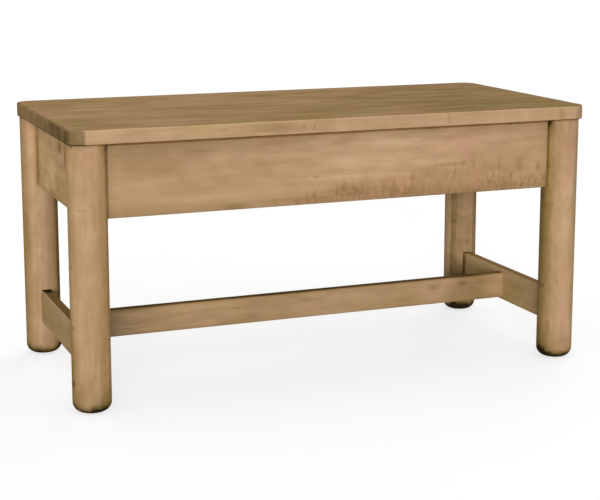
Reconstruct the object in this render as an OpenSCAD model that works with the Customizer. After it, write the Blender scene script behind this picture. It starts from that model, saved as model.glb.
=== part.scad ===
// Low wooden bench on four turned legs, with deep aprons and an H-shaped stretcher.
// Millimetres, +Z up, +X along the seat. The origin is on the floor, midway between the legs.

/* [Seat] */
// Length of the seat
seat_l = 976; // [700:1:1400]
// Depth of the seat, front to back
seat_w = 463; // [380:1:560]
// Thickness of the seat
seat_t = 25.4; // [22:0.1:38]
// Radius of the seat's upright corners
seat_corner_r = 28; // [12:0.5:36]
// Radius of the eased edges around the top and bottom faces
seat_edge_r = 2.5; // [0.5:0.1:5]
// Width of the front board and of the back board
outer_board_w = 154; // [120:1:180]
// How far the seat reaches past the legs at each end
overhang_end = 2.3; // [0:0.1:12]
// How far the seat reaches past the legs at the front and at the back
overhang_side = 3.5; // [0:0.1:12]

/* [Legs] */
// Height of a leg, from the floor to the underside of the seat
leg_h = 458.4; // [400:0.2:520]
// Diameter of a leg
leg_d = 66.7; // [58:0.1:80]
// Radius of the rounded foot
foot_r = 17; // [8:0.5:24]

/* [Aprons] */
// Height of the aprons
apron_h = 128.5; // [90:0.5:150]
// Thickness of the aprons
apron_t = 18; // [16:0.5:22]
// Radius of the aprons' eased lower edges
apron_edge_r = 1.5; // [0.5:0.1:3]

/* [Stretchers] */
// Height of a side stretcher's lower edge above the floor
side_stretcher_z = 65; // [50:1:120]
// Height of a side stretcher's section
side_stretcher_h = 63.5; // [54:0.5:80]
// Thickness of the side stretchers
side_stretcher_t = 18; // [16:0.5:24]
// How far the centre stretcher's lower edge stands above the side stretchers' lower edge
centre_stretcher_rise = 5.5; // [2:0.5:8]
// Height of the centre stretcher's section
centre_stretcher_h = 50.5; // [40:0.5:54]
// Thickness of the centre stretcher
centre_stretcher_t = 18; // [14:0.5:24]
// Radius of the stretchers' eased edges
stretcher_edge_r = 2; // [0.5:0.1:3.5]

/* [Joinery] */
// Thickness of every tenon
tenon_t = 9; // [6:0.5:11]
// Shoulder above and below an apron's tenon
apron_shoulder = 14; // [6:1:24]
// Shoulder above and below a stretcher's tenon
stretcher_shoulder = 8; // [4:0.5:12]
// Wood left inside a leg between its mortises
mortise_web = 3; // [2:0.5:6]
// Length of the centre stretcher's stub tenons
stub_tenon_l = 12; // [8:0.5:14]
// Room for glue between a tenon's cheeks and its mortise
glue_fit = 0.1; // [0.05:0.05:0.2]
// Room for glue past a tenon's end
glue_room = 0.5; // [0.3:0.1:1]

/* [Corner blocks] */
// Thickness of a corner block, measured across the corner
block_t = 25; // [20:1:32]
// Height of a corner block
block_h = 55; // [44:1:70]
// How far the corner blocks sit below the seat
block_drop = 6; // [2:0.5:12]
// Gap between a corner block and its leg
block_leg_gap = 0.5; // [0.3:0.1:2]
// Distance from a block's near edge to its screws, along the apron
block_screw_in = 15; // [12:0.5:17]
// Distance between the two screws of one apron
block_screw_pitch = 28; // [20:1:34]
// Wood between a block screw's head and the apron
block_screw_grip = 9; // [6:0.5:10]

/* [Seat buttons] */
// Distance between neighbouring buttons along the front and the back
button_pitch = 290; // [180:5:300]
// Length of a button's body, away from the apron
button_l = 30; // [24:1:40]
// Width of a button
button_w = 25; // [20:1:32]
// Height of a button
button_h = 16; // [13:0.5:20]
// Thickness of a button's tongue
tongue_t = 6.5; // [5:0.5:8]
// Length of a button's tongue
tongue_l = 8; // [6:0.5:10]
// Room on each side of a tongue, for the seat's seasonal movement
slot_room = 7; // [4:0.5:10]
// Gap below a tongue and past its end
slot_fit = 0.5; // [0.3:0.1:1]

/* [Screws] */
// Diameter of a screw's shank
screw_d = 4.2; // [3.5:0.1:5]
// Diameter of a screw's head
screw_head_d = 8.2; // [7:0.1:9.5]
// Thickness of a screw's head
screw_head_t = 2.6; // [2:0.1:3.4]
// Width of the square drive in a screw's head
screw_drive_w = 2.9; // [2:0.1:3.2]
// Depth of the square drive
screw_drive_depth = 1.6; // [1:0.1:1.8]
// Length of a screw's point
screw_point_l = 4; // [3:0.5:5]
// Diameter of a screw's tip
screw_tip_d = 0.6; // [0.3:0.1:1]
// Reach of a block screw into its apron
block_screw_bite = 12; // [8:0.5:14]
// Reach of a button screw into the seat
button_screw_bite = 15; // [10:0.5:18]
// Gap around a screw's shank
screw_fit = 0.15; // [0.05:0.05:0.3]
// Gap around a block screw's head in its pocket
head_fit = 0.3; // [0.2:0.1:0.6]

/* [Hidden] */
$fn = 96;

// A little extra, so that a cut passes cleanly through a face
over = 1;

leg_r = leg_d / 2;
leg_x = seat_l / 2 - overhang_end - leg_r;
leg_y = seat_w / 2 - overhang_side - leg_r;

apron_z = leg_h - apron_h;
centre_stretcher_z = side_stretcher_z + centre_stretcher_rise;

// Distances from a leg's axis to the end of a tenon and to the bottom of its mortise
mortise_end = tenon_t / 2 + glue_fit + mortise_web;
tenon_end = mortise_end + glue_room;

// A corner block's edges on its aprons, measured from the aprons' inner corner
block_near = sqrt(2) * (leg_r + block_leg_gap) - apron_t;
block_far = block_near + sqrt(2) * block_t;
block_z = leg_h - block_drop - block_h;

button_x = [-button_pitch, 0, button_pitch];
screw_colour = [0.62, 0.6, 0.56];
seat_colour = [0.62, 0.51, 0.36];
leg_colour = [0.71, 0.6, 0.44];
rail_colour = [0.69, 0.57, 0.4];
hidden_wood_colour = [0.75, 0.66, 0.5];

// Copies of a shape made for the front left corner
module right() {
    mirror([1, 0, 0]) children();
}

module back() {
    mirror([0, 1, 0]) children();
}

module four_corners() {
    children();
    right() children();
    back() children();
    right() back() children();
}

// Half of the slab's section, with eased edges on its outer side
module edge_profile(reach) {
    square([reach - seat_edge_r, seat_t]);
    translate([0, seat_edge_r]) square([reach, seat_t - 2 * seat_edge_r]);
    for (y = [seat_edge_r, seat_t - seat_edge_r])
        translate([reach - seat_edge_r, y]) circle(r = seat_edge_r);
}

module slab_corner() {
    translate([seat_l / 2 - seat_corner_r, seat_w / 2 - seat_corner_r, 0])
        rotate_extrude(angle = 90) edge_profile(seat_corner_r);
}

// The middle of the slab, as wide as the straight stretch between its corners
module slab_along_x() {
    straight = seat_l - 2 * seat_corner_r;
    for (side = [0, 1])
        mirror([0, side, 0])
            translate([straight / 2, 0, 0])
                rotate([90, 0, -90]) mirror([1, 0, 0])
                    linear_extrude(height = straight) edge_profile(seat_w / 2);
}

module slab_along_y() {
    straight = seat_w - 2 * seat_corner_r;
    for (side = [0, 1])
        mirror([side, 0, 0])
            translate([0, straight / 2, 0])
                rotate([90, 0, 0])
                    linear_extrude(height = straight) edge_profile(seat_l / 2);
}

module slab() {
    translate([0, 0, leg_h]) {
        slab_along_x();
        slab_along_y();
        four_corners() slab_corner();
    }
}

// One glued-up board of the seat, between two lines across its depth
module seat_board(y_low, y_high) {
    difference() {
        intersection() {
            slab();
            translate([-seat_l, y_low, leg_h - over])
                cube([2 * seat_l, y_high - y_low, seat_t + 2 * over]);
        }
        button_places() button_screw_hole();
    }
}

module seat_board_front() {
    color(seat_colour) seat_board(-seat_w / 2, outer_board_w - seat_w / 2);
}

module seat_board_middle() {
    color(seat_colour) seat_board(outer_board_w - seat_w / 2, seat_w / 2 - outer_board_w);
}

module seat_board_back() {
    color(seat_colour) seat_board(seat_w / 2 - outer_board_w, seat_w / 2);
}

// Turned leg on the Z axis, with its rounded foot
module turned_leg() {
    rotate_extrude() {
        square([leg_r - foot_r, leg_h]);
        translate([0, foot_r]) square([leg_r, leg_h - foot_r]);
        intersection() {
            translate([leg_r - foot_r, foot_r]) circle(r = foot_r);
            square([leg_r, leg_h]);
        }
    }
}

// Mortise that runs from near the leg's axis out past its surface, along +X
module leg_mortise(z, h, shoulder) {
    translate([mortise_end, -tenon_t / 2 - glue_fit, z + shoulder - glue_fit])
        cube([leg_r + over - mortise_end, tenon_t + 2 * glue_fit, h - 2 * shoulder + 2 * glue_fit]);
}

// Front left leg
module leg() {
    translate([-leg_x, -leg_y, 0]) difference() {
        turned_leg();
        leg_mortise(apron_z, apron_h, apron_shoulder);
        rotate([0, 0, 90]) leg_mortise(apron_z, apron_h, apron_shoulder);
        rotate([0, 0, 90]) leg_mortise(side_stretcher_z, side_stretcher_h, stretcher_shoulder);
    }
}

module front_left_leg() {
    color(leg_colour) leg();
}

module front_right_leg() {
    color(leg_colour) right() leg();
}

module back_left_leg() {
    color(leg_colour) back() leg();
}

module back_right_leg() {
    color(leg_colour) right() back() leg();
}

// Upright rectangular section with eased lower corners, and eased upper corners if eased_top
module eased_section(t, h, r, eased_top) {
    translate([r - t / 2, 0]) square([t - 2 * r, h]);
    translate([-t / 2, r]) square([t, h - (eased_top ? 2 * r : r)]);
    for (x = [r - t / 2, t / 2 - r], y = eased_top ? [r, h - r] : [r])
        translate([x, y]) circle(r = r);
}

// Bar along X with such a section, its middle on the Z axis
module eased_bar(l, t, h, r, eased_top) {
    translate([-l / 2, 0, 0])
        rotate([90, 0, 90]) linear_extrude(height = l) eased_section(t, h, r, eased_top);
}

// Rail along X between two legs at a distance of 2 * half, hollowed at its ends to fit them,
// with a tenon at each end
module coped_rail(half, z, h, t, shoulder, r, eased_top) {
    difference() {
        translate([0, 0, z]) eased_bar(2 * half, t, h, r, eased_top);
        for (x = [-half, half])
            translate([x, 0, z - over]) cylinder(r = leg_r, h = h + 2 * over);
    }
    translate([tenon_end - half, -tenon_t / 2, z + shoulder])
        cube([2 * (half - tenon_end), tenon_t, h - 2 * shoulder]);
}

// Apron along X between legs at a distance of 2 * half, before its slots and holes
module apron_blank(half) {
    coped_rail(half, apron_z, apron_h, apron_t, apron_shoulder, apron_edge_r, false);
}

module front_apron_solid() {
    difference() {
        translate([0, -leg_y, 0]) apron_blank(leg_x);
        front_button_places() tongue_slot();
        front_block_screws() screw_hole(block_screw_grip + block_screw_bite);
        right() front_block_screws() screw_hole(block_screw_grip + block_screw_bite);
    }
}

module left_apron_solid() {
    difference() {
        translate([-leg_x, 0, 0]) rotate([0, 0, 90]) apron_blank(leg_y);
        left_button_place() tongue_slot();
        side_block_screws() screw_hole(block_screw_grip + block_screw_bite);
        back() side_block_screws() screw_hole(block_screw_grip + block_screw_bite);
    }
}

module front_apron() {
    color(rail_colour) front_apron_solid();
}

module back_apron() {
    color(rail_colour) back() front_apron_solid();
}

module left_apron() {
    color(rail_colour) left_apron_solid();
}

module right_apron() {
    color(rail_colour) right() left_apron_solid();
}

// Stretcher between the left legs, mortised for the centre stretcher
module side_stretcher() {
    translate([-leg_x, 0, 0]) difference() {
        rotate([0, 0, 90])
            coped_rail(
                leg_y, side_stretcher_z, side_stretcher_h, side_stretcher_t,
                stretcher_shoulder, stretcher_edge_r, true
            );
        translate([
            side_stretcher_t / 2 - stub_tenon_l - glue_room,
            -tenon_t / 2 - glue_fit,
            centre_stretcher_z + stretcher_shoulder - glue_fit
        ])
            cube([
                stub_tenon_l + glue_room + over,
                tenon_t + 2 * glue_fit,
                centre_stretcher_h - 2 * stretcher_shoulder + 2 * glue_fit
            ]);
    }
}

module left_stretcher() {
    color(rail_colour) side_stretcher();
}

module right_stretcher() {
    color(rail_colour) right() side_stretcher();
}

module centre_stretcher() {
    between = 2 * leg_x - side_stretcher_t;
    color(rail_colour) {
        translate([0, 0, centre_stretcher_z])
            eased_bar(between, centre_stretcher_t, centre_stretcher_h, stretcher_edge_r, true);
        translate([
            -between / 2 - stub_tenon_l,
            -tenon_t / 2,
            centre_stretcher_z + stretcher_shoulder
        ])
            cube([between + 2 * stub_tenon_l, tenon_t, centre_stretcher_h - 2 * stretcher_shoulder]);
    }
}

// Screw with the underside of its head at the origin and its shank along +Z
module screw(l) {
    difference() {
        translate([0, 0, -screw_head_t]) cylinder(d = screw_head_d, h = screw_head_t);
        translate([-screw_drive_w / 2, -screw_drive_w / 2, -screw_head_t - over])
            cube([screw_drive_w, screw_drive_w, screw_drive_depth + over]);
    }
    cylinder(d = screw_d, h = l - screw_point_l);
    translate([0, 0, l - screw_point_l])
        cylinder(d1 = screw_d, d2 = screw_tip_d, h = screw_point_l);
}

// Pilot hole for such a screw
module screw_hole(l) {
    translate([0, 0, -over]) cylinder(d = screw_d + 2 * screw_fit, h = l + screw_fit + over);
}

// Pocket that lets the screw's head into the block
module head_pocket(depth) {
    translate([0, 0, -depth]) cylinder(d = screw_head_d + 2 * head_fit, h = depth);
}

// Places the front left block's screws into the front apron, and into the left apron.
// Each starts at the underside of its head and points at the apron.
module front_block_screws() {
    for (end = [-1, 1])
        translate([
            apron_t / 2 + block_near + block_screw_in - leg_x,
            apron_t / 2 + block_screw_grip - leg_y,
            block_z + block_h / 2 + end * block_screw_pitch / 2
        ])
            rotate([90, 0, 0]) children();
}

module side_block_screws() {
    for (end = [-1, 1])
        translate([
            apron_t / 2 + block_screw_grip - leg_x,
            apron_t / 2 + block_near + block_screw_in - leg_y,
            block_z + block_h / 2 + end * block_screw_pitch / 2
        ])
            rotate([0, -90, 0]) children();
}

// Front left corner block, set across the corner in front of its leg
module corner_block() {
    difference() {
        translate([apron_t / 2 - leg_x, apron_t / 2 - leg_y, block_z])
            linear_extrude(height = block_h)
                polygon([[block_near, 0], [block_far, 0], [0, block_far], [0, block_near]]);
        front_block_screws() {
            screw_hole(block_screw_grip + over);
            head_pocket(block_far);
        }
        side_block_screws() {
            screw_hole(block_screw_grip + over);
            head_pocket(block_far);
        }
    }
}

module front_left_corner_block() {
    color(hidden_wood_colour) corner_block();
}

module front_right_corner_block() {
    color(hidden_wood_colour) right() corner_block();
}

module back_left_corner_block() {
    color(hidden_wood_colour) back() corner_block();
}

module back_right_corner_block() {
    color(hidden_wood_colour) right() back() corner_block();
}

module corner_block_screws() {
    color(screw_colour) four_corners() {
        front_block_screws() screw(block_screw_grip + block_screw_bite);
        side_block_screws() screw(block_screw_grip + block_screw_bite);
    }
}

// Places for the buttons. Each starts on the apron's inner face at the underside of the seat,
// with +Y away from the apron.
module front_button_places() {
    for (x = button_x)
        translate([x, apron_t / 2 - leg_y, leg_h]) children();
}

module left_button_place() {
    translate([apron_t / 2 - leg_x, 0, leg_h]) rotate([0, 0, -90]) children();
}

module button_places() {
    front_button_places() children();
    back() front_button_places() children();
    left_button_place() children();
    right() left_button_place() children();
}

// Wooden button: its body is screwed up to the seat and its tongue holds the apron
module button() {
    difference() {
        union() {
            translate([-button_w / 2, 0, -button_h]) cube([button_w, button_l, button_h]);
            translate([-button_w / 2, -tongue_l, -button_h])
                cube([button_w, tongue_l + over, tongue_t]);
        }
        button_screw_hole();
    }
}

// Slot in the apron for a button's tongue
module tongue_slot() {
    translate([-button_w / 2 - slot_room, -tongue_l - slot_fit, -button_h - slot_fit])
        cube([button_w + 2 * slot_room, tongue_l + slot_fit + over, tongue_t + slot_fit]);
}

module button_screw_place() {
    translate([0, button_l / 2, -button_h]) children();
}

module button_screw_hole() {
    button_screw_place() screw_hole(button_h + button_screw_bite);
}

module seat_buttons() {
    color(hidden_wood_colour) button_places() button();
}

module button_screws() {
    color(screw_colour) button_places() button_screw_place() screw(button_h + button_screw_bite);
}

seat_board_front();
seat_board_middle();
seat_board_back();
front_left_leg();
front_right_leg();
back_left_leg();
back_right_leg();
front_apron();
back_apron();
left_apron();
right_apron();
left_stretcher();
right_stretcher();
centre_stretcher();
front_left_corner_block();
front_right_corner_block();
back_left_corner_block();
back_right_corner_block();
corner_block_screws();
seat_buttons();
button_screws();
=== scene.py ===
"""Looks of the bench: stained wood with a nearly matt finish, bare inner blocks, steel screws,
a pale floor, soft studio light and the camera.

Lengths are in metres. Only the places and sizes of spots, and the camera's lens and sensor, are
in mm."""

import math

import bpy
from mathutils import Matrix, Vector

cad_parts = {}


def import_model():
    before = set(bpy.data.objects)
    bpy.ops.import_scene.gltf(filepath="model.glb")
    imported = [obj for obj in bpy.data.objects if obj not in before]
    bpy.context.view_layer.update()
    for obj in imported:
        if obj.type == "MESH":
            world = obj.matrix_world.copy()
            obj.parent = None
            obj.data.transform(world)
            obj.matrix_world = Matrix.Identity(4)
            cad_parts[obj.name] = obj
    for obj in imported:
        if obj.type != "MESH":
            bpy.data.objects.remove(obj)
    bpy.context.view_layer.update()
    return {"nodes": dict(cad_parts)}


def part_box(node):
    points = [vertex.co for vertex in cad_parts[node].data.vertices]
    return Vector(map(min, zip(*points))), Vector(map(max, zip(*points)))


MM = 0.001

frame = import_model()


# Sizes from the frame

SEAT_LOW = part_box("seat_board_front")[0].z
SEAT_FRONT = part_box("seat_board_front")[0].y
APRON_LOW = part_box("front_apron")[0].z
APRON_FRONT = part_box("front_apron")[0].y
APRON_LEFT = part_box("left_apron")[0].x
STRETCHER_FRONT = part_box("centre_stretcher")[0].y
LEG_LOW, LEG_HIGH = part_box("front_left_leg")
LEG_AXIS = (LEG_LOW + LEG_HIGH) / 2
LEG_RADIUS = (LEG_HIGH.x - LEG_LOW.x) / 2


# Colours

def srgb(red, green, blue):
    """A colour on the screen's scale of 0 to 255, as the linear colour that nodes take."""
    def linear(part):
        part /= 255
        return part / 12.92 if part <= 0.04045 else ((part + 0.055) / 1.055) ** 2.4
    return (linear(red), linear(green), linear(blue), 1)


def even_grey(level):
    return (level, level, level, 1)


# The stain from where the wood took least of it to where it is almost black
STAIN = (
    (0.0, srgb(221, 191, 154)),
    (0.3, srgb(195, 161, 124)),
    (0.5, srgb(171, 139, 101)),
    (0.7, srgb(141, 115, 75)),
    (0.86, srgb(104, 84, 47)),
    (1.0, srgb(46, 36, 18)),
)
# Bare planed maple
BARE = (
    (0.0, srgb(236, 216, 184)),
    (0.5, srgb(214, 187, 148)),
    (1.0, srgb(160, 128, 90)),
)
# Zinc plating
ZINC = (
    (0.3, srgb(168, 166, 158)),
    (0.7, srgb(205, 203, 194)),
)
# Tints over the stain. Pink, olive and grey vary the wood's own colour. Pink and olive also colour the
# painted shade, and amber is only the tint of painted shade
OLIVE_TINT = (0.93, 0.98, 0.78, 1)
PINK_TINT = (1.05, 0.95, 0.99, 1)
GREY_TINT = (0.93, 0.95, 1.08, 1)
AMBER_SHADE_TINT = (1.05, 1.0, 0.76, 1)
WHITE = even_grey(1)


# Node graphs

# The sockets of a Mix node that mixes colours
MIX_AMOUNT = 0
MIX_BASE = 6
MIX_TINT = 7
MIX_RESULT = 2
# How far apart two seeds lie in the noise
SEED_STEP = 7.31


class Field:
    """A number that varies over a surface. Arithmetic on it adds Math nodes."""

    def __init__(self, graph, socket):
        self.graph = graph
        self.socket = socket

    def __add__(self, other):
        return self.graph.math("ADD", self, other)

    def __sub__(self, other):
        return self.graph.math("SUBTRACT", self, other)

    def __mul__(self, other):
        return self.graph.math("MULTIPLY", self, other)

    def __truediv__(self, other):
        return self.graph.math("DIVIDE", self, other)

    def __rsub__(self, other):
        return self.graph.math("SUBTRACT", other, self)

    def __abs__(self):
        return self.graph.math("ABSOLUTE", self)

    __radd__ = __add__


class Graph:
    """Writes the nodes of a material or of the world."""

    def __init__(self, owner):
        owner.use_nodes = True
        self.tree = owner.node_tree
        self.tree.nodes.clear()

    def node(self, kind, inputs=None, **settings):
        """A node with its settings, and its inputs by name or by number."""
        made = self.tree.nodes.new(kind)
        for key, setting in settings.items():
            setattr(made, key, setting)
        for key, value in (inputs or {}).items():
            value = getattr(value, "socket", value)
            if isinstance(value, bpy.types.NodeSocket):
                self.tree.links.new(value, made.inputs[key])
            else:
                made.inputs[key].default_value = value
        return made

    def math(self, operation, first, second=0.0):
        made = self.node("ShaderNodeMath", {0: first, 1: second}, operation=operation)
        return Field(self, made.outputs[0])

    def mix_shaders(self, amount, first, second):
        """The first shader where amount is 0, and the second where it is 1."""
        made = self.node("ShaderNodeMixShader", {0: amount, 1: first.outputs[0], 2: second.outputs[0]})
        return made.outputs[0]

    def seen_directly(self):
        """1 for rays that come from the camera, or straight from a reflection or through glass."""
        rays = self.node("ShaderNodeLightPath").outputs
        seen = self.math("MAXIMUM", rays["Is Camera Ray"], rays["Is Glossy Ray"])
        return self.math("MAXIMUM", seen, rays["Is Transmission Ray"])


class Surface(Graph):
    """One material of the bench.

    x, y and z are the place on the bench, and facing_x, facing_y and facing_z are the parts of the
    direction that the surface faces, from -1 to 1."""

    def __init__(self, name, seed):
        self.material = bpy.data.materials.new(name)
        super().__init__(self.material)
        self.seed = seed
        place = self.node("ShaderNodeTexCoord")
        self.x, self.y, self.z = self.split(place.outputs["Object"])
        self.facing_x, self.facing_y, self.facing_z = self.split(place.outputs["Normal"])

    def split(self, vector):
        parts = self.node("ShaderNodeSeparateXYZ", {0: vector}).outputs
        return [Field(self, part) for part in parts]

    def step(self, value, start, end):
        """0 before start and 1 after end, with a smooth change between them."""
        made = self.node("ShaderNodeMapRange", {"Value": value, "From Min": start, "From Max": end},
                         interpolation_type="SMOOTHSTEP")
        return Field(self, made.outputs["Result"])

    def near(self, value, place, reach):
        """1 where value is at place, falling to 0 at reach from it."""
        return self.step(abs(value - place), reach, 0)

    def length(self, *parts):
        squares = [part * part for part in parts]
        return self.math("SQRT", sum(squares[1:], squares[0]))

    def noises(self, x, y, z, detail=2.0, roughness=0.5):
        """Three unlike noises of about -0.5 to 0.5, at coordinates already scaled."""
        self.seed += 1
        shift = self.seed * SEED_STEP
        place = self.node("ShaderNodeCombineXYZ", {0: x + shift, 1: y - shift, 2: z + 0.5 * shift})
        made = self.node("ShaderNodeTexNoise", {
            "Vector": place.outputs[0], "Scale": 1.0, "Detail": detail, "Roughness": roughness})
        return [part - 0.5 for part in self.split(made.outputs["Color"])]

    def noise(self, x, y, z, **settings):
        return self.noises(x, y, z, **settings)[0]

    def ramp(self, value, stops):
        made = self.node("ShaderNodeValToRGB", {0: value})
        elements = made.color_ramp.elements
        while len(elements) < len(stops):
            elements.new(0.5)
        for element, (place, colour) in zip(elements, stops):
            element.position = place
            element.color = colour
        return made.outputs["Color"]

    def multiply_tint(self, colour, amount, tint):
        """The colour multiplied by a tint, as far as amount says."""
        made = self.node("ShaderNodeMix", {MIX_AMOUNT: amount, MIX_BASE: colour, MIX_TINT: tint},
                         data_type="RGBA", blend_type="MULTIPLY")
        return made.outputs[MIX_RESULT]

    def shade(self, colour, roughness, height, depth, specular=0.01, metallic=0.0):
        """Writes the shader. depth is the bump's real depth where height goes from 0 to 1."""
        bump = self.node("ShaderNodeBump", {"Height": height, "Distance": depth, "Strength": 1.0})
        shader = self.node("ShaderNodeBsdfPrincipled", {
            "Base Color": colour, "Roughness": roughness, "Normal": bump.outputs[0],
            "Specular IOR Level": specular, "Metallic": metallic})
        self.node("ShaderNodeOutputMaterial", {0: shader.outputs[0]})
        return self.material


def dress(name, material):
    for slot in frame["nodes"][name].material_slots:
        slot.material = material


# Wood

# The width of a year's growth, how far the rings sway, and the depth of the pores
RING_WIDTH = 0.0060
RING_SWAY = 0.050
PORE_DEPTH = 0.00010


class Wood(Surface):
    """One piece of wood: its growth rings, fibres, smears and cloudy stain.

    along is the axis that the grain follows, and heart is where the tree's middle lay on the two
    other axes. u runs along the grain, v and w across it. dark is the sum of all that darkens the
    piece, painted shade among it, from 0 to 1, and pink is the sum of what turns it pink or, below
    0, olive. grey and amber are how much of those tints it has, amber going with painted shade.
    paint() makes colour, roughness and bump of them."""

    def __init__(self, name, along, heart, seed):
        super().__init__(name, seed)
        axes = {
            "X": (self.x, self.y, self.z),
            "Y": (self.y, self.x, self.z),
            "Z": (self.z, self.x, self.y),
        }
        facings = {"X": self.facing_x, "Y": self.facing_y, "Z": self.facing_z}
        self.u, self.v, self.w = axes[along]
        self.end_grain = self.step(abs(facings[along]), 0.05, 0.16)
        bend = self.grains(1.8, 6)
        from_heart = self.length(self.v - heart[0] + bend[0] * RING_SWAY,
                                 self.w - heart[1] + bend[1] * RING_SWAY)
        year = self.math("FRACT", from_heart / RING_WIDTH + bend[2] * 3)
        self.rings = self.step(year, 0.20, 0.90) * self.step(year, 1.0, 0.92)
        self.fibres = self.grain(14, 560)
        self.smears = self.grain(7, 52, detail=4, roughness=0.6)
        self.streaks = self.grain(2.4, 34, detail=4, roughness=0.62)
        self.clouds, wide, _ = self.grains(4, 10, detail=3)
        self.blots, narrow, _ = self.grains(26, 44, detail=3)
        self.warmth = wide * 2.4 + narrow * 1.7 + self.streaks * 0.8 + 0.12

    def grains(self, along, across, **settings):
        """Three noises of about so many waves to a metre along the grain and across it."""
        return self.noises(self.u * along, self.v * across, self.w * across, **settings)

    def grain(self, along, across, **settings):
        return self.grains(along, across, **settings)[0]

    def figure(self, tone, rings=0.03, fibres=0.10, smears=0.24, streaks=0.26, clouds=0.40, blots=0.10):
        """Starts the darkness with the tone and as much of each feature as is given."""
        self.dark = (tone + self.rings * rings + self.fibres * fibres + self.smears * smears
                     + self.streaks * streaks + self.clouds * clouds + self.blots * blots)
        self.pink = self.warmth
        self.grey = 0.0
        self.amber = 0.0

    def add(self, where, dark=1.0, pink=0.0, amber=0.0):
        """Adds so much of each where the field is 1, and as much less as the field is lower."""
        self.dark = self.dark + where * dark
        if pink:
            self.pink = self.pink + where * pink
        if amber:
            self.amber = self.amber + where * amber

    def spot(self, place, size):
        """1 at place and 0 outside size, both in mm for x, y and z, with a ragged soft edge."""
        parts = zip((self.x, self.y, self.z), place, size)
        apart = self.length(*[(axis - at * MM) / (wide * MM) for axis, at, wide in parts])
        return self.step(apart + self.smears * 1.6, 1.0, 0.2)

    def marks(self, rows):
        """Darkens the wood at each place by an amount, which lightens it below 0."""
        for place, size, amount in rows:
            self.dark = self.dark + self.spot(place, size) * amount

    def blush(self, rows):
        """Turns the wood pinker at each place by an amount, or more olive below 0."""
        for place, size, amount in rows:
            self.pink = self.pink + self.spot(place, size) * amount

    def strips(self, rows):
        """Tints an upright round piece along strips, each by the angle that it faces from +X: painted
        light and painted shade on its sides.
        """
        for angle, half_width, dark, pink, amber in rows:
            angle = math.radians(angle)
            towards = self.facing_x * math.cos(angle) + self.facing_y * math.sin(angle)
            edge = math.cos(math.radians(half_width))
            strip = self.step(towards + self.smears * 0.10, edge, (1 + edge) / 2)
            self.add(strip, dark, pink, amber)

    def wear_and_highlight(self, amount):
        """Lightens the rounded upper edges, here and there more than elsewhere: partly worn, partly a
        painted highlight where they catch the light.
        """
        edge = self.step(self.facing_z, 0.15, 0.45) * self.step(self.facing_z, 0.95, 0.70)
        self.add(edge * (self.smears - 0.5), dark=2 * amount)

    def curl(self, where, amount):
        """Short strokes across the grain, as in curly maple, where the field is above 0."""
        sway = [part * 4 for part in self.grains(24, 24)]
        strokes = self.noise(self.u * 150 + sway[0], self.v * 34 + sway[1], self.w * 34 + sway[2])
        patches = self.step(self.grain(20, 30), -0.14, 0.14)
        self.add(where * patches * strokes, dark=amount)

    def paint(self, stops=STAIN):
        colour = self.ramp(self.dark, stops)
        colour = self.multiply_tint(colour, self.step(self.pink, 0.0, 1.0), PINK_TINT)
        colour = self.multiply_tint(colour, self.step(self.pink, 0.0, -1.0), OLIVE_TINT)
        colour = self.multiply_tint(colour, self.grey, GREY_TINT)
        colour = self.multiply_tint(colour, self.amber, AMBER_SHADE_TINT)
        roughness = 0.66 + self.smears * 0.25 + self.fibres * 0.15
        height = self.fibres * 0.8 - self.rings * 0.25
        return self.shade(colour, roughness, height, PORE_DEPTH)


# Seat

# Along X, where the top starts to darken to the right and where it would be darkest
TOP_DARKENS = (-0.25, 0.60)
# Along X, where the left end's darker end grain stops and where the right end's starts
ENDS_PART = (-0.1, 0.1)
# Along Y and to the front, where an end starts to darken and to show more of its stripes, and
# where it does so in full
END_DARKENS = (0.06, -0.17)
END_STRIPES = (0.06, -0.12)
# The heights up to which the lower edge gets a dark line of painted shade, and gets it in full
LOWER_EDGE = (SEAT_LOW + 0.003, SEAT_LOW + 0.0005)


def seat_board(name, heart, seed, tone, marks=(), blushes=()):
    wood = Wood(name, "X", heart, seed)
    wood.figure(tone, rings=0.02, fibres=0.08, smears=0.12, streaks=0.15, clouds=0.30)
    on_top = wood.step(wood.facing_z, 0.5, 0.9)
    seat_top(wood, on_top)
    mottle = wood.grain(30, 10)
    wood.add((1 - on_top) * (1 - wood.end_grain) * mottle, dark=0.22)
    seat_end(wood)
    hues = wood.grain(8, 15, detail=3)
    wood.pink = wood.pink + on_top * (hues * 3.2 - 0.25)
    # The amber tint of the painted shade on the top
    wood.amber = on_top * 0.4
    # Lighter rounded upper edges, partly worn and partly a painted highlight
    wood.wear_and_highlight(0.12)
    # A dark line of painted shade along the lower rounded edge, under the seat
    underside = wood.step(wood.facing_z, -0.05, -0.6)
    wood.add(underside * wood.step(wood.z, *LOWER_EDGE), dark=0.45, pink=1.5, amber=0.8)
    wood.marks(marks)
    wood.blush(blushes)
    dress(name, wood.paint())


def seat_top(wood, on_top):
    """Bands, dashes and hair lines along the top, which darkens to its right end. The whole top is
    painted darker as well, as painted shade.
    """
    bands = wood.grain(7, 24, detail=4, roughness=0.6)
    dashes = wood.grain(14, 50, detail=3, roughness=0.6)
    hairs = wood.grain(7, 330, detail=3)
    to_right = wood.step(wood.x, *TOP_DARKENS) * 0.12
    wood.add(on_top * (0.11 + to_right + bands * 0.50 + dashes * 0.24 + hairs * 0.12))
    wood.add(on_top * (wood.rings * 0.04 + wood.smears * 0.06 + wood.streaks * 0.09))


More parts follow.
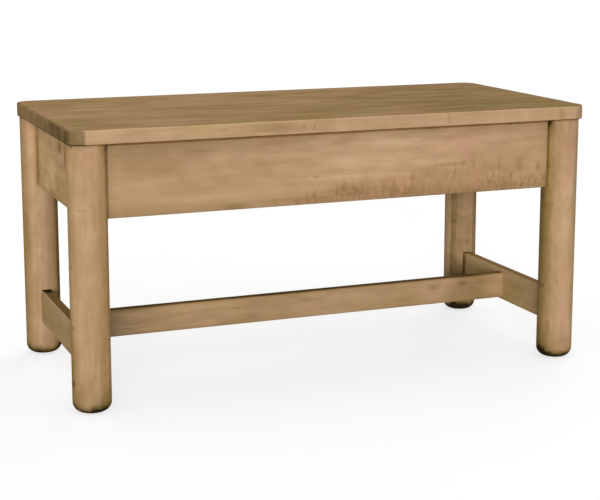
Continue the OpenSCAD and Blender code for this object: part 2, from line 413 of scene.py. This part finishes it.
def seat_end(wood):
    """Darkens the end grain: grey round the corners, striped on the flat ends, paler on the right."""
    stripes = wood.noise(wood.u * 4, wood.v * 44, wood.w * 14, detail=3)
    past_corner = wood.step(abs(wood.facing_x), 0.75, 0.99)
    to_front = wood.step(wood.y, *END_DARKENS) * 0.12
    on_right = wood.step(wood.x, *ENDS_PART)
    stained = wood.end_grain * (1 - on_right * (0.8 - past_corner * 0.3))
    stripes = stripes * (0.16 + wood.step(wood.y, *END_STRIPES) * 0.26)
    wood.add(stained * (0.33 + past_corner * (0.01 + to_front + stripes)))
    wood.grey = stained * (0.8 - past_corner * 0.7)


# Legs

# The heights where the painted shade on the side towards the bench's middle grows, going down past the
# aprons
BELOW_APRONS = (APRON_LOW + 0.02, APRON_LOW - 0.02)
# How far the painted shade in the crease beside an apron reaches, and the heights over which it fades
# in
CREASE_REACH = 0.0075
CREASE_START = (APRON_LOW - 0.004, APRON_LOW + 0.004)
# How far the painted shade in the corner under the seat reaches to the side and down
CORNER_REACH = 0.015
CORNER_DEPTH = 0.020
# How far the shade all round the leg reaches down from the seat
SEAT_SHADE = 0.006
# The heights up to which the foot has painted shade and has it in full, and how ragged that edge is,
# then the same for the fainter painted shade above it
FOOT_SHADE = (0.025, -0.001)
FOOT_SHADE_RAGGED = 0.027
FAINT_FOOT_SHADE = (0.060, 0.010)
FAINT_FOOT_SHADE_RAGGED = 0.080


def leg(name, heart, seed, tone, limb=0.08, inside=0.10, hue=0.0, grey=0.0, curl=0.0,
        strips=(), marks=(), blushes=()):
    """limb is how much darker the left and right sides are, inside the same for the side towards
    the bench's middle, both as painted shade, and hue what it adds to pink."""
    low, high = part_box(name)
    middle = (low + high) / 2
    wood = Wood(name, "Z", (middle.x + heart[0], middle.y + heart[1]), seed)
    wood.figure(tone, rings=0.015, fibres=0.07, smears=0.15, streaks=0.21, clouds=0.24, blots=0.30)
    wood.pink = wood.pink * 0.5 + hue
    wood.grey = grey
    scuff(wood)
    shade_inside(wood, middle, inside)
    # Painted shade on the left and right sides, and painted light and shade along the strips
    sides = wood.step(abs(wood.facing_x), 0.60, 1.0)
    wood.add(sides, dark=limb, pink=-0.2, amber=0.5)
    wood.strips(strips)
    paint_joint_shade(wood, middle)
    # Painted shade at the foot, near the floor
    shade_foot(wood)
    wood.add(wood.near(wood.z, SEAT_LOW, SEAT_SHADE), dark=0.20)
    if curl:
        cloudy = wood.step(wood.clouds, -0.15, 0.10)
        wood.curl(cloudy, curl)
    wood.marks(marks)
    wood.blush(blushes)
    dress(name, wood.paint())


def scuff(wood):
    """Dashes along the leg, and scuffs that are stronger in some places than in others."""
    dashes = wood.grain(11, 95, detail=3, roughness=0.6)
    wood.add(dashes, dark=0.20)
    scuffs = wood.noise(wood.x * 60, wood.y * 60, wood.z * 60, detail=4, roughness=0.6)
    worn = wood.step(wood.noise(wood.x * 14, wood.y * 14, wood.z * 9), 0.0, 0.2)
    wood.add(scuffs * (0.10 + worn * 0.25))


def shade_inside(wood, middle, amount):
    """Painted shade on the side towards the bench's middle, most of all below the aprons."""
    inward = Vector((-middle.x, -middle.y)).normalized()
    facing = wood.facing_x * inward.x + wood.facing_y * inward.y
    below = wood.step(wood.z, *BELOW_APRONS)
    wood.add(wood.step(facing, 0.30, 1.0) * (0.5 + below * 0.5), dark=amount)


def paint_joint_shade(wood, middle):
    """Painted shade in the creases where the aprons' outer faces meet the leg, and in the corners under
    the seat.
    """
    face_x = math.copysign(APRON_LEFT, middle.x)
    face_y = math.copysign(APRON_FRONT, middle.y)
    on_x_side = wood.step(wood.facing_x * -math.copysign(1, middle.x), 0.4, 0.8)
    on_y_side = wood.step(wood.facing_y * -math.copysign(1, middle.y), 0.4, 0.8)

    def by_aprons(reach):
        return (wood.near(wood.y, face_y, reach) * on_x_side
                + wood.near(wood.x, face_x, reach) * on_y_side)

    crease = by_aprons(CREASE_REACH) * wood.step(wood.z, *CREASE_START)
    corner = by_aprons(CORNER_REACH) * wood.near(wood.z, SEAT_LOW, CORNER_DEPTH)
    wood.add(crease, dark=0.26, amber=1.0)
    wood.add(corner, dark=0.6, pink=0.8, amber=0.5)


def shade_foot(wood):
    """Painted shade that turns the foot almost black, with a ragged edge, and fainter painted shade
    above it.
    """
    ragged = wood.noise(wood.x * 30, wood.y * 30, wood.z * 22, detail=3, roughness=0.6)
    wood.add(wood.step(wood.z + ragged * FOOT_SHADE_RAGGED, *FOOT_SHADE), dark=0.56)
    wood.add(wood.step(wood.z + ragged * FAINT_FOOT_SHADE_RAGGED, *FAINT_FOOT_SHADE), dark=0.15)


# Aprons, stretchers and inner blocks

def rail(name, along, heart, seed, tone, **amounts):
    """The wood of a straight piece, with the heart given from the piece's own middle."""
    low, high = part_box(name)
    middle = (low + high) / 2
    across = middle.y if along == "X" else middle.x
    wood = Wood(name, along, (across + heart[0], middle.z + heart[1]), seed)
    wood.figure(tone, **amounts)
    return wood


# Down from an apron's top, the dark line of painted shade under the seat and the faint shade below
# it, each as where it starts and where it is in full
TOP_LINE = (0.0075, 0.0055)
TOP_SHADE = (0.036, 0.020)
TOP_SHADE_RAGGED = 0.02
# Up from its lower edge, the shade along that edge in the same way
LOW_SHADE = (0.030, 0.004)
LOW_SHADE_RAGGED = 0.05
# How far from a leg the painted shade and the dark crease of painted shade beside it reach
LEG_SHADE = 0.022
LEG_CREASE = 0.004


def apron(name, along, heart, seed, tone, hue=0.0, amber=0.0, curl=None, marks=(), **amounts):
    """hue is what it adds to pink, curl a function that draws curly figure, and amounts are
    those of figure()."""
    wood = rail(name, along, heart, seed, tone, **amounts)
    wood.pink = wood.pink + hue
    wood.amber = amber
    low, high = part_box(name)
    up = wood.z - low.z
    down = high.z - wood.z
    # Painted shade under the seat, along the lower edge and beside the legs
    wood.add(wood.step(down, *TOP_LINE), dark=0.22, pink=1.5, amber=0.8)
    wood.add(wood.step(down - wood.streaks * TOP_SHADE_RAGGED, *TOP_SHADE), dark=0.02)
    wood.add(wood.step(up + wood.streaks * LOW_SHADE_RAGGED, *LOW_SHADE), dark=0.11)
    axis, thick = (LEG_AXIS.x, high.y - low.y) if along == "X" else (LEG_AXIS.y, high.x - low.x)
    meets_leg = -axis - math.sqrt(LEG_RADIUS ** 2 - (thick / 2) ** 2)
    to_leg = meets_leg - abs(wood.u)
    wood.add(wood.step(to_leg, LEG_SHADE, 0.0), dark=0.05)
    wood.add(wood.step(to_leg, LEG_CREASE, 0.0), dark=0.20)
    if curl:
        curl(wood, up)
    wood.marks(marks)
    dress(name, wood.paint())


# Along X, from where to where the curly figure fades in and grows taller
CURL_STARTS = (-0.26, 0.02)
CURL_GROWS = (-0.12, 0.22)
# Its height at the left, what it gains to the right, and how soft and ragged its upper edge is
CURL_HEIGHT = 0.012
CURL_GAIN = 0.046
CURL_SOFT = 0.012
CURL_RAGGED = 0.12


def front_apron_curl(wood, up):
    """Curly figure along the lower right of the front apron, with a ragged upper edge."""
    tufts = wood.noise(wood.x * 26, wood.y * 10, wood.z * 12, detail=5, roughness=0.65)
    tall = CURL_HEIGHT + wood.step(wood.x, *CURL_GROWS) * CURL_GAIN
    below_edge = wood.step(up - tufts * CURL_RAGGED, tall + CURL_SOFT, tall * 0.3)
    where = below_edge * wood.step(wood.x, *CURL_STARTS)
    wood.add(where, dark=0.07, pink=0.5)
    wood.curl(where, 0.76)


# Down from a stretcher's top, where the line of painted shade under its upper face starts and where it
# is in full
UNDER_TOP = (0.0040, 0.0015)
# How far the shade along its lower edge reaches up
EDGE_SHADE = 0.010
# Along a side stretcher from its middle, where painted shade on its ends starts and where it is darkest
DARK_ENDS = (0.150, 0.165)


def stretcher(name, along, heart, seed, tone, top, rim=0.0, end=0.0, hue=-0.4, amber=0.0, worn=0.18,
              marks=(), blushes=()):
    """top, rim and end are how much darker the upper face, the line under it and the ends are,
    as painted shade under the seat and by the legs, and hue is what it adds to pink."""
    wood = rail(name, along, heart, seed, tone, blots=0.2)
    wood.pink = wood.pink + hue
    wood.amber = amber
    low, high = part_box(name)
    # Painted shade on the upper face, under the seat
    upper_face = wood.step(wood.facing_z, 0.6, 0.95)
    wood.add(upper_face, dark=top, pink=0.8, amber=0.7)
    wood.add(wood.step(high.z - wood.z, *UNDER_TOP), dark=rim, amber=rim * 2)
    wood.add(wood.step(wood.z - low.z, EDGE_SHADE, 0.0), dark=0.08)
    wood.add(wood.step(abs(wood.u), *DARK_ENDS), dark=end, amber=end)
    # Lighter rounded upper edges, partly worn and partly a painted highlight
    wood.wear_and_highlight(worn)
    wood.marks(marks)
    wood.blush(blushes)
    dress(name, wood.paint())


def bare_wood(name, heart, seed):
    dress(name, rail(name, "X", heart, seed, tone=0.4).paint(BARE))


# Screws

STEEL_SEED = 90
# About how many dimples the zinc has to a metre, and how deep they are
DIMPLES = 900
DIMPLE_DEPTH = 0.00002


def steel(name):
    surface = Surface(name, STEEL_SEED)
    dimples = surface.noise(surface.x * DIMPLES, surface.y * DIMPLES, surface.z * DIMPLES, detail=3)
    colour = surface.ramp(dimples + 0.5, ZINC)
    roughness = 0.36 + dimples * 0.2
    dress(name, surface.shade(colour, roughness, dimples, DIMPLE_DEPTH, specular=0.5, metallic=1.0))


# The bench, piece by piece

# heart is from the bench's origin for a seat board, and from the piece's own middle for the others.
# A mark or a blush is a spot: its middle and its half size, both in mm for x, y and z, and its
# amount. A strip is the angle that it faces and its half width, both in degrees, and what it adds
# to dark, pink and amber.

# The half size, in mm, of a spot across the face that it lies on
SPOT_DEPTH = 9


def on_front(face, *rows):
    """Spots on a face towards the front, from rows of x, z, half width, half height and amount."""
    return [((x, face / MM, z), (wide, SPOT_DEPTH, tall), amount) for x, z, wide, tall, amount in rows]


def on_left(face, *rows):
    """Spots on a face towards the left, from rows of y, z, half width, half height and amount."""
    return [((face / MM, y, z), (SPOT_DEPTH, wide, tall), amount) for y, z, wide, tall, amount in rows]


seat_board(
    "seat_board_front", heart=(-0.180, 0.420), seed=10, tone=0.36,
    marks=on_front(
        SEAT_FRONT,
        (-79.5, 471, 3, 7, 0.14),
        (-60.7, 470, 3, 8, 0.22),
        (-125, 471, 75, 13, 0.17),
        (-223, 473, 14, 3, 0.12),
        (200, 471, 7, 20, 0.08),
        (432, 471, 13, 20, 0.12),
        (-400, 471, 110, 20, -0.08),
    ),
    blushes=on_front(
        SEAT_FRONT,
        (-400, 471, 110, 20, 0.5),
    ),
)
seat_board("seat_board_middle", heart=(0.030, 0.560), seed=20, tone=0.36)
seat_board("seat_board_back", heart=(0.190, 0.400), seed=30, tone=0.34)

leg(
    "front_left_leg", heart=(-0.035, 0.045), seed=40, tone=0.38, limb=0.05, inside=0.06, hue=0.15,
    strips=(
        (-22, 35, -0.09, 0, 0),
        (-5, 80, -0.02, 0, 0.8),
    ),
    marks=(
        ((-484.7, -202.6, 252), (4, 8, 9), 0.18),
        ((-484.7, -202.6, 149), (5, 8, 4), 0.24),
        ((-484.7, -202.6, 52), (6, 9, 9), 0.22),
        # Painted shade just under the seat
        ((-481, -210, 455), (5, 5, 7), 0.25),
        ((-469, -223, 452), (5, 5, 5), 0.15),
        ((-448, -228, 334), (5, 8, 30), 0.10),
        ((-470, -222, 350), (16, 12, 2), 0.10),
        ((-478, -213, 265), (22, 20, 70), 0.08),
        # Painted shade by the apron, under the seat
        ((-425, -213, 426), (10, 10, 9), 0.12),
        ((-425, -205, 34), (25, 30, 40), 0.14),
        ((-484, -185, 105), (18, 36, 135), 0.20),
    ),
    blushes=(
        ((-458, -227, 432), (18, 10, 26), 0.5),
    ),
)
leg(
    "front_right_leg", heart=(0.050, 0.030), seed=50, tone=0.37, limb=0.06, inside=0.16,
    strips=(
        (-155, 45, 0.08, -0.3, 0),
        (-105, 35, -0.03, 0.4, 0),
        (-42, 22, 0.02, -0.6, 0),
    ),
    marks=(
        # Painted shade in the corner under the seat, by the apron
        ((427, -214, 441), (12, 13, 18), 0.12),
        ((419, -201, 140), (5, 6, 5), 0.15),
        ((425, -214, 62), (5, 8, 18), 0.12),
    ),
    blushes=(
        ((462, -226, 405), (9, 10, 45), 1.2),
    ),
)
leg(
    "back_left_leg", heart=(0.030, -0.050), seed=60, tone=0.37, limb=0.18, inside=0.12,
    strips=(
        (-28, 20, 0.17, 0, 0),
        (-5, 75, -0.05, 0, 0.5),
    ),
    blushes=(
        ((-481, 179, 425), (9, 9, 35), 0.7),
    ),
)
# Painted darker than the other legs, as painted shade, with strips of painted light and shade on its
# sides
leg(
    "back_right_leg", heart=(-0.050, 0.040), seed=70, tone=0.48, inside=0.02, hue=-0.3, grey=0.5,
    curl=0.35,
    strips=(
        (178, 30, -0.16, 0.2, 0),
        (-141, 12, 0.09, 0, 0),
        (-42, 28, 0.13, -0.2, 0.1),
        (35, 55, -0.12, 0.3, 0),
        (-110, 30, 0.03, -0.2, 0),
    ),
    marks=(
        ((426, 174, 195), (10, 10, 8), 0.12),
        ((452, 161, 152), (8, 8, 12), 0.16),
    ),
)

apron(
    "front_apron", "X", heart=(0.070, 0.010), seed=80, tone=0.39,
    fibres=0.06, smears=0.18, streaks=0.19, clouds=0.32, blots=0.20, curl=front_apron_curl,
    marks=on_front(
        APRON_FRONT,
        (-46, 379, 9, 5, 0.12),
        (215, 385, 42, 5, 0.14),
        (245, 387, 10, 8, 0.14),
        (319, 385, 7, 22, 0.10),
        (362, 378, 10, 20, 0.10),
        (401, 370, 6, 14, 0.16),
        (-195, 334, 38, 10, 0.12),
        (-255, 436, 45, 4, 0.08),
        (339, 453, 2.5, 4, 0.4),
        # Painted shade under the seat on the left, and painted light across the middle and the right
        (-330, 425, 130, 45, 0.10),
        (40, 410, 190, 60, -0.12),
        (240, 415, 140, 45, -0.10),
        (70, 442, 130, 22, -0.08),
    ),
)
apron("back_apron", "X", heart=(-0.080, -0.015), seed=90, tone=0.38)
# Painted paler than the other aprons, as painted light on the bench's left side, with the amber tint of
# painted shade
apron(
    "left_apron", "Y", heart=(0.060, -0.020), seed=100, tone=0.26, hue=-0.3, amber=0.6,
    clouds=0.5, blots=0.5,
    marks=on_left(
        APRON_LEFT,
        (-35, 431, 20, 18, 0.40),
        (-75, 420, 12, 34, 0.30),
        # Painted shade beside the back left leg
        (150, 380, 30, 80, 0.16),
        (161, 394, 12, 120, 0.30),
        (30, 375, 50, 30, -0.14),
        (75, 350, 45, 22, -0.10),
    ),
)
apron("right_apron", "Y", heart=(-0.060, 0.015), seed=110, tone=0.40)

stretcher(
    "left_stretcher", "Y", heart=(0.040, 0.030), seed=120, tone=0.41, top=0.38, end=0.12,
    marks=(
        # Painted shade on the upper face by the back left leg
        ((-452, 150, 128), (12, 22, 6), 0.30),
    ),
)
stretcher(
    "right_stretcher", "Y", heart=(-0.050, 0.020), seed=130, tone=0.34, top=0.31, end=0.10,
    hue=-0.6, amber=0.15,
    marks=(
        # Painted shade at the back end, by the back right leg
        ((443, 158, 98), (16, 14, 70), 0.40),
    ),
    blushes=(
        ((443, 115, 98), (16, 75, 60), -0.8),
    ),
)
stretcher(
    "centre_stretcher", "X", heart=(0.050, -0.020), seed=140, tone=0.44, top=0.22, rim=0.16, worn=0.04,
    marks=on_front(
        STRETCHER_FRONT,
        # Painted light at the left end, where the front left leg casts its shadow
        (-400, 95, 110, 60, -0.32),
        (-325, 84, 40, 4, 0.10),
        (-125, 101, 14, 3, 0.12),
        (15, 104, 22, 6, 0.10),
        (288, 105, 18, 7, 0.14),
        (352, 108, 14, 6, 0.14),
        (368, 95, 66, 60, 0.19),
    ),
    blushes=on_front(
        STRETCHER_FRONT,
        # Olive at the left end, the tint of painted shade, where the front left leg casts its shadow
        (-430, 95, 60, 60, -1.2),
        (340, 82, 130, 34, 0.4),
        (434, 95, 44, 60, 0.7),
    ),
)

for number, corner in enumerate(("front_left", "front_right", "back_left", "back_right")):
    bare_wood(corner + "_corner_block", heart=(0.04, 0.03), seed=150 + 10 * number)
bare_wood("seat_buttons", heart=(0.05, 0.03), seed=200)
steel("corner_block_screws")
steel("button_screws")


# Light

AMBIENT = 0.54
# Each lamp's name, its azimuth, elevation and spread in degrees, and what it adds to a surface
# that faces it
LAMPS = (
    ("key", -25, 5, 24, 0.87),
    ("fill", 135, 5, 40, 0.60),
)


def world():
    """Even light on the bench, and white behind it."""
    made = bpy.data.worlds.new("studio")
    graph = Graph(made)
    ambient = graph.node("ShaderNodeBackground", {"Color": WHITE, "Strength": AMBIENT})
    backdrop = graph.node("ShaderNodeBackground", {"Color": WHITE})
    shown = graph.mix_shaders(graph.seen_directly(), ambient, backdrop)
    graph.node("ShaderNodeOutputWorld", {0: shown})
    bpy.context.scene.world = made


def lamp(name, azimuth, elevation, spread, share):
    """A sun whose light comes from the azimuth and elevation. Only the key shows in reflections."""
    data = bpy.data.lights.new(name, "SUN")
    data.energy = share * math.pi
    data.angle = math.radians(spread)
    made = bpy.data.objects.new(name, data)
    turn = math.radians(azimuth)
    rise = math.radians(elevation)
    level = math.cos(rise)
    towards = Vector((math.sin(turn) * level, -math.cos(turn) * level, math.sin(rise)))
    made.rotation_euler = towards.to_track_quat("Z", "Y").to_euler()
    made.visible_glossy = name == "key"
    bpy.context.scene.collection.objects.link(made)


# Floor

FLOOR_REACH = 30
# The share of light that the floor gives back where it is seen, and where it lights the bench
FLOOR_SEEN = 0.5
FLOOR_BOUNCE = 0.25
# How bright the floor is to be outside the shadow, where 1 is white
FLOOR_BRIGHT = 1.01


def floor():
    """A floor that shows the bench's shadow and otherwise glows up to white."""
    mesh = bpy.data.meshes.new("floor")
    corners = [(-1, -1), (1, -1), (1, 1), (-1, 1)]
    mesh.from_pydata([(x * FLOOR_REACH, y * FLOOR_REACH, 0) for x, y in corners], [], [(0, 1, 2, 3)])
    made = bpy.data.objects.new("floor", mesh)
    bpy.context.scene.collection.objects.link(made)
    material = bpy.data.materials.new("pale_floor")
    graph = Graph(material)
    pale = graph.node("ShaderNodeBsdfDiffuse", {"Color": even_grey(FLOOR_SEEN)})
    falling = AMBIENT + sum(share * math.sin(math.radians(up)) for _, _, up, _, share in LAMPS)
    glow = graph.node("ShaderNodeEmission", {"Strength": FLOOR_BRIGHT - FLOOR_SEEN * falling})
    shown = graph.node("ShaderNodeAddShader", {0: pale.outputs[0], 1: glow.outputs[0]})
    bounce = graph.node("ShaderNodeBsdfDiffuse", {"Color": even_grey(FLOOR_BOUNCE)})
    either = graph.mix_shaders(graph.seen_directly(), bounce, shown)
    graph.node("ShaderNodeOutputMaterial", {0: either})
    mesh.materials.append(material)


# Camera

CAMERA_PLACE = (-1.005, -2.540, 0.7995)
# In degrees, to the right of straight back and down from level
CAMERA_TURN = 21.68
CAMERA_DOWN = 9.99
# In mm
CAMERA_LENS = 87.7
CAMERA_SENSOR = 36
# In widths of the picture
CAMERA_SHIFT = -0.1
CAMERA_NEAR = 0.05
CAMERA_FAR = 100


def camera():
    data = bpy.data.cameras.new("camera")
    data.lens = CAMERA_LENS
    data.sensor_width = CAMERA_SENSOR
    data.shift_y = CAMERA_SHIFT
    data.clip_start = CAMERA_NEAR
    data.clip_end = CAMERA_FAR
    made = bpy.data.objects.new("camera", data)
    made.location = CAMERA_PLACE
    made.rotation_euler = (math.radians(90 - CAMERA_DOWN), 0, -math.radians(CAMERA_TURN))
    bpy.context.scene.collection.objects.link(made)
    bpy.context.scene.camera = made


world()
for row in LAMPS:
    lamp(*row)
floor()
camera()
bpy.context.scene.view_settings.view_transform = "Standard"
